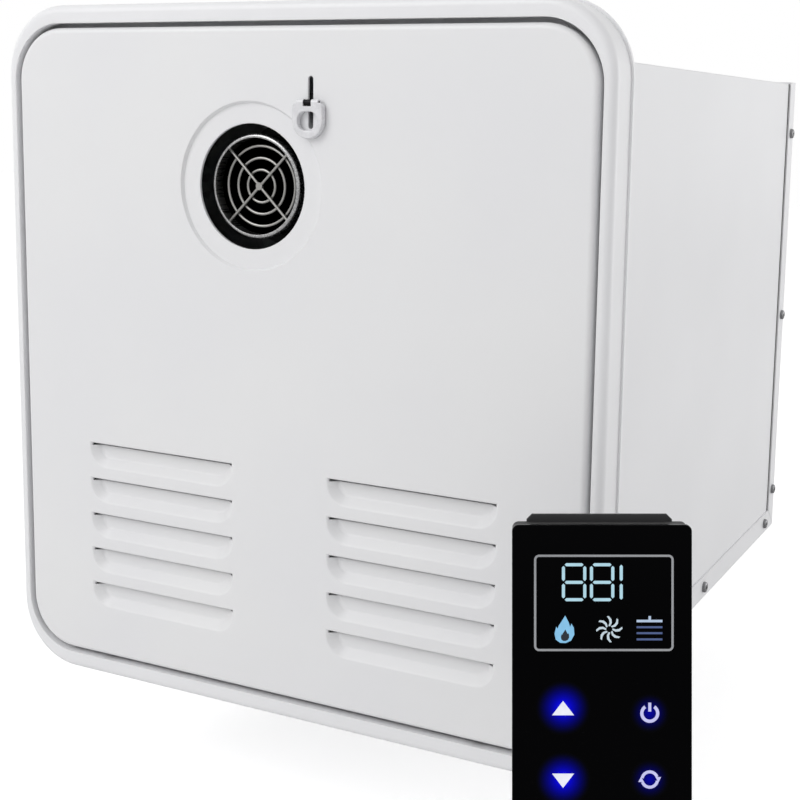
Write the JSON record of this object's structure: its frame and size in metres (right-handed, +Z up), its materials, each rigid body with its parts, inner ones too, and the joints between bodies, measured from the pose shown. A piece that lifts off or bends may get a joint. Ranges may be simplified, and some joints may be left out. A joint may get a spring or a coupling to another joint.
{
  "type": "caravan water heater",
  "caption": "Gas water heater for a caravan wall: white framed door with louvres and a round exhaust, boxed housing behind it, and a separate touch controller.",
  "frame": {"origin": "centre of the four wall screw holes, in the plane of the frame's back, which lies on the wall", "axes": "+X to the right seen from outside, +Y into the caravan, +Z up"},
  "size_m": [0.4439, 0.5524, 0.3874],
  "materials": {
    "door_paint": "satin powder coat",
    "frame_plastic": "satin",
    "housing_paint": "satin powder coat",
    "foam_rubber": "matt foam",
    "silicone": "matt",
    "hinge_steel": "zinc plated",
    "latch_white": "gloss",
    "screw_steel": "dark zinc",
    "galvanised": "galvanised",
    "stainless": "bright",
    "copper": "bare copper",
    "brass": "bare",
    "die_cast": "as cast",
    "coil_plastic": "matt",
    "lever_steel": "bright",
    "rocker_plastic": "gloss red",
    "rotor_plastic": "matt",
    "blower_plastic": "matt",
    "motor_steel": "satin",
    "ceramic": "glazed",
    "lead_rubber": "matt",
    "control_plastic": "matt",
    "circuit_board": "solder mask",
    "controller_glass": "high gloss black",
    "controller_plastic": "matt",
    "plate_steel": "satin grey",
    "display_plastic": "clear light guide"
  },
  "bodies": {
    "casing": {"front_frame": "frame_plastic", "housing_shell": "housing_paint", "rear_panel": "housing_paint", "base_panel": "housing_paint", "wall_gasket": "foam_rubber", "exhaust_gasket": "silicone", "hinge_brackets": "hinge_steel", "latch_keeper": "hinge_steel", "casing_screws": "screw_steel", "inner_cover": "galvanised", "flue_hood": "galvanised", "burner_box": "galvanised", "stack_legs": "galvanised", "exhaust_tube": "stainless", "exhaust_grille": "stainless", "burner_bars": "stainless", "exchanger_shell": "copper", "exchanger_fins": "copper", "exchanger_tubes": "copper", "inlet_pipe": "copper", "sensor_pipe": "copper", "outlet_pipe": "copper", "relief_pipe": "copper", "gas_pipe": "copper", "water_fittings": "brass", "gas_inlet_fitting": "brass", "relief_valve": "brass", "gas_manifold": "die_cast", "gas_valve": "die_cast", "gas_solenoids": "coil_plastic", "spark_unit": "coil_plastic", "overheat_switch": "coil_plastic", "cable_gland": "coil_plastic", "power_switch": "coil_plastic", "flow_sensor": "coil_plastic", "blower_housing": "blower_plastic", "blower_motor": "motor_steel", "spark_electrodes": "ceramic", "flame_sensor": "ceramic", "ignition_lead": "lead_rubber", "control_tray": "control_plastic", "control_lid": "control_plastic", "control_board": "circuit_board", "controller_board": "circuit_board", "controller_front": "controller_glass", "controller_case": "controller_plastic", "controller_wall_plate": "plate_steel", "controller_display": "display_plastic", "key_light_guides": "display_plastic"},
    "door": {"door_panel": "door_paint", "hinge_pins": "hinge_steel"},
    "latch": {"latch_post": "hinge_steel", "latch_clip": "hinge_steel", "latch_pin": "hinge_steel"},
    "latch_pull": {"latch_ring": "latch_white"},
    "blower": {"blower_shaft": "lever_steel", "blower_impeller": "blower_plastic"},
    "flow_wheel": {"flow_rotor": "rotor_plastic"},
    "relief_handle": {"relief_lever": "lever_steel"},
    "rocker": {"switch_rocker": "rocker_plastic"}
  },
  "joints": [
    {"name": "door_hinge", "type": "hinge", "parent": "casing", "child": "door", "pos_m": [0, -0.0185, -0.167], "axis": [1, 0, 0], "range_deg": [0, 85]},
    {"name": "latch_turn", "type": "hinge", "parent": "door", "child": "latch", "pos_m": [0.0197, -0.0242, 0.1413], "axis": [0, 1, 0], "range_deg": [0, 90]},
    {"name": "latch_flip", "type": "hinge", "parent": "latch", "child": "latch_pull", "pos_m": [0.0197, -0.0242, 0.1413], "axis": [-1, 0, 0], "range_deg": [0, 90]},
    {"name": "blower_spin", "type": "hinge", "parent": "casing", "child": "blower", "pos_m": [-0.04, 0.175, -0.12], "axis": [0, 1, 0], "continuous": true},
    {"name": "flow_spin", "type": "hinge", "parent": "casing", "child": "flow_wheel", "pos_m": [-0.12, 0.335, -0.078], "axis": [0, 0, 1], "continuous": true},
    {"name": "relief_lift", "type": "hinge", "parent": "casing", "child": "relief_handle", "pos_m": [0.13, 0.0108, -0.092], "axis": [-1, 0, 0], "range_deg": [0, 80]},
    {"name": "switch_rock", "type": "hinge", "parent": "casing", "child": "rocker", "pos_m": [0.11, 0.0215, 0.02], "axis": [-1, 0, 0], "range_deg": [0, 20]}
  ]
}
